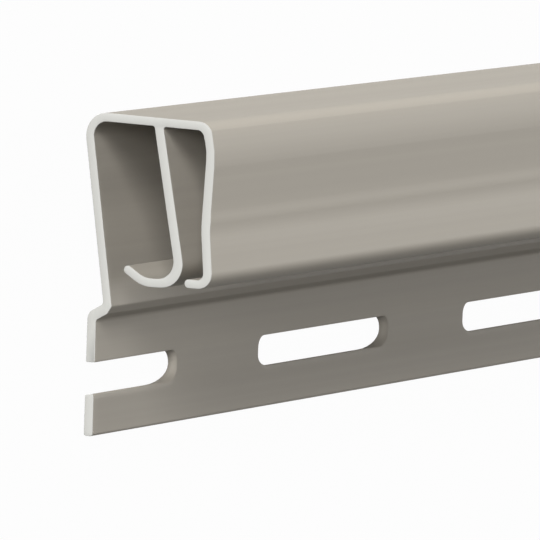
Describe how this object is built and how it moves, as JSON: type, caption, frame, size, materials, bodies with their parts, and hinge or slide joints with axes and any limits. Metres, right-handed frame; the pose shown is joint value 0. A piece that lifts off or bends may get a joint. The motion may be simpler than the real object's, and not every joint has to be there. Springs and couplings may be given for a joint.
{
  "type": "undersill trim",
  "caption": "Long vinyl siding trim with a slotted nailing flange, a boxed face and an inner J-shaped hook that grips a cut panel edge.",
  "frame": {"origin": "middle of the length and of the section's height, on the plane that the trim lies on", "axes": "+X along the length, +Y up the section as it is nailed to a wall, +Z away from the wall"},
  "size_m": [3.048, 0.0362, 0.0164],
  "materials": {
    "vinyl": "matte, fine extrusion lines along the length"
  },
  "bodies": {
    "root": {"undersill_trim": "vinyl"}
  },
  "joints": []
}
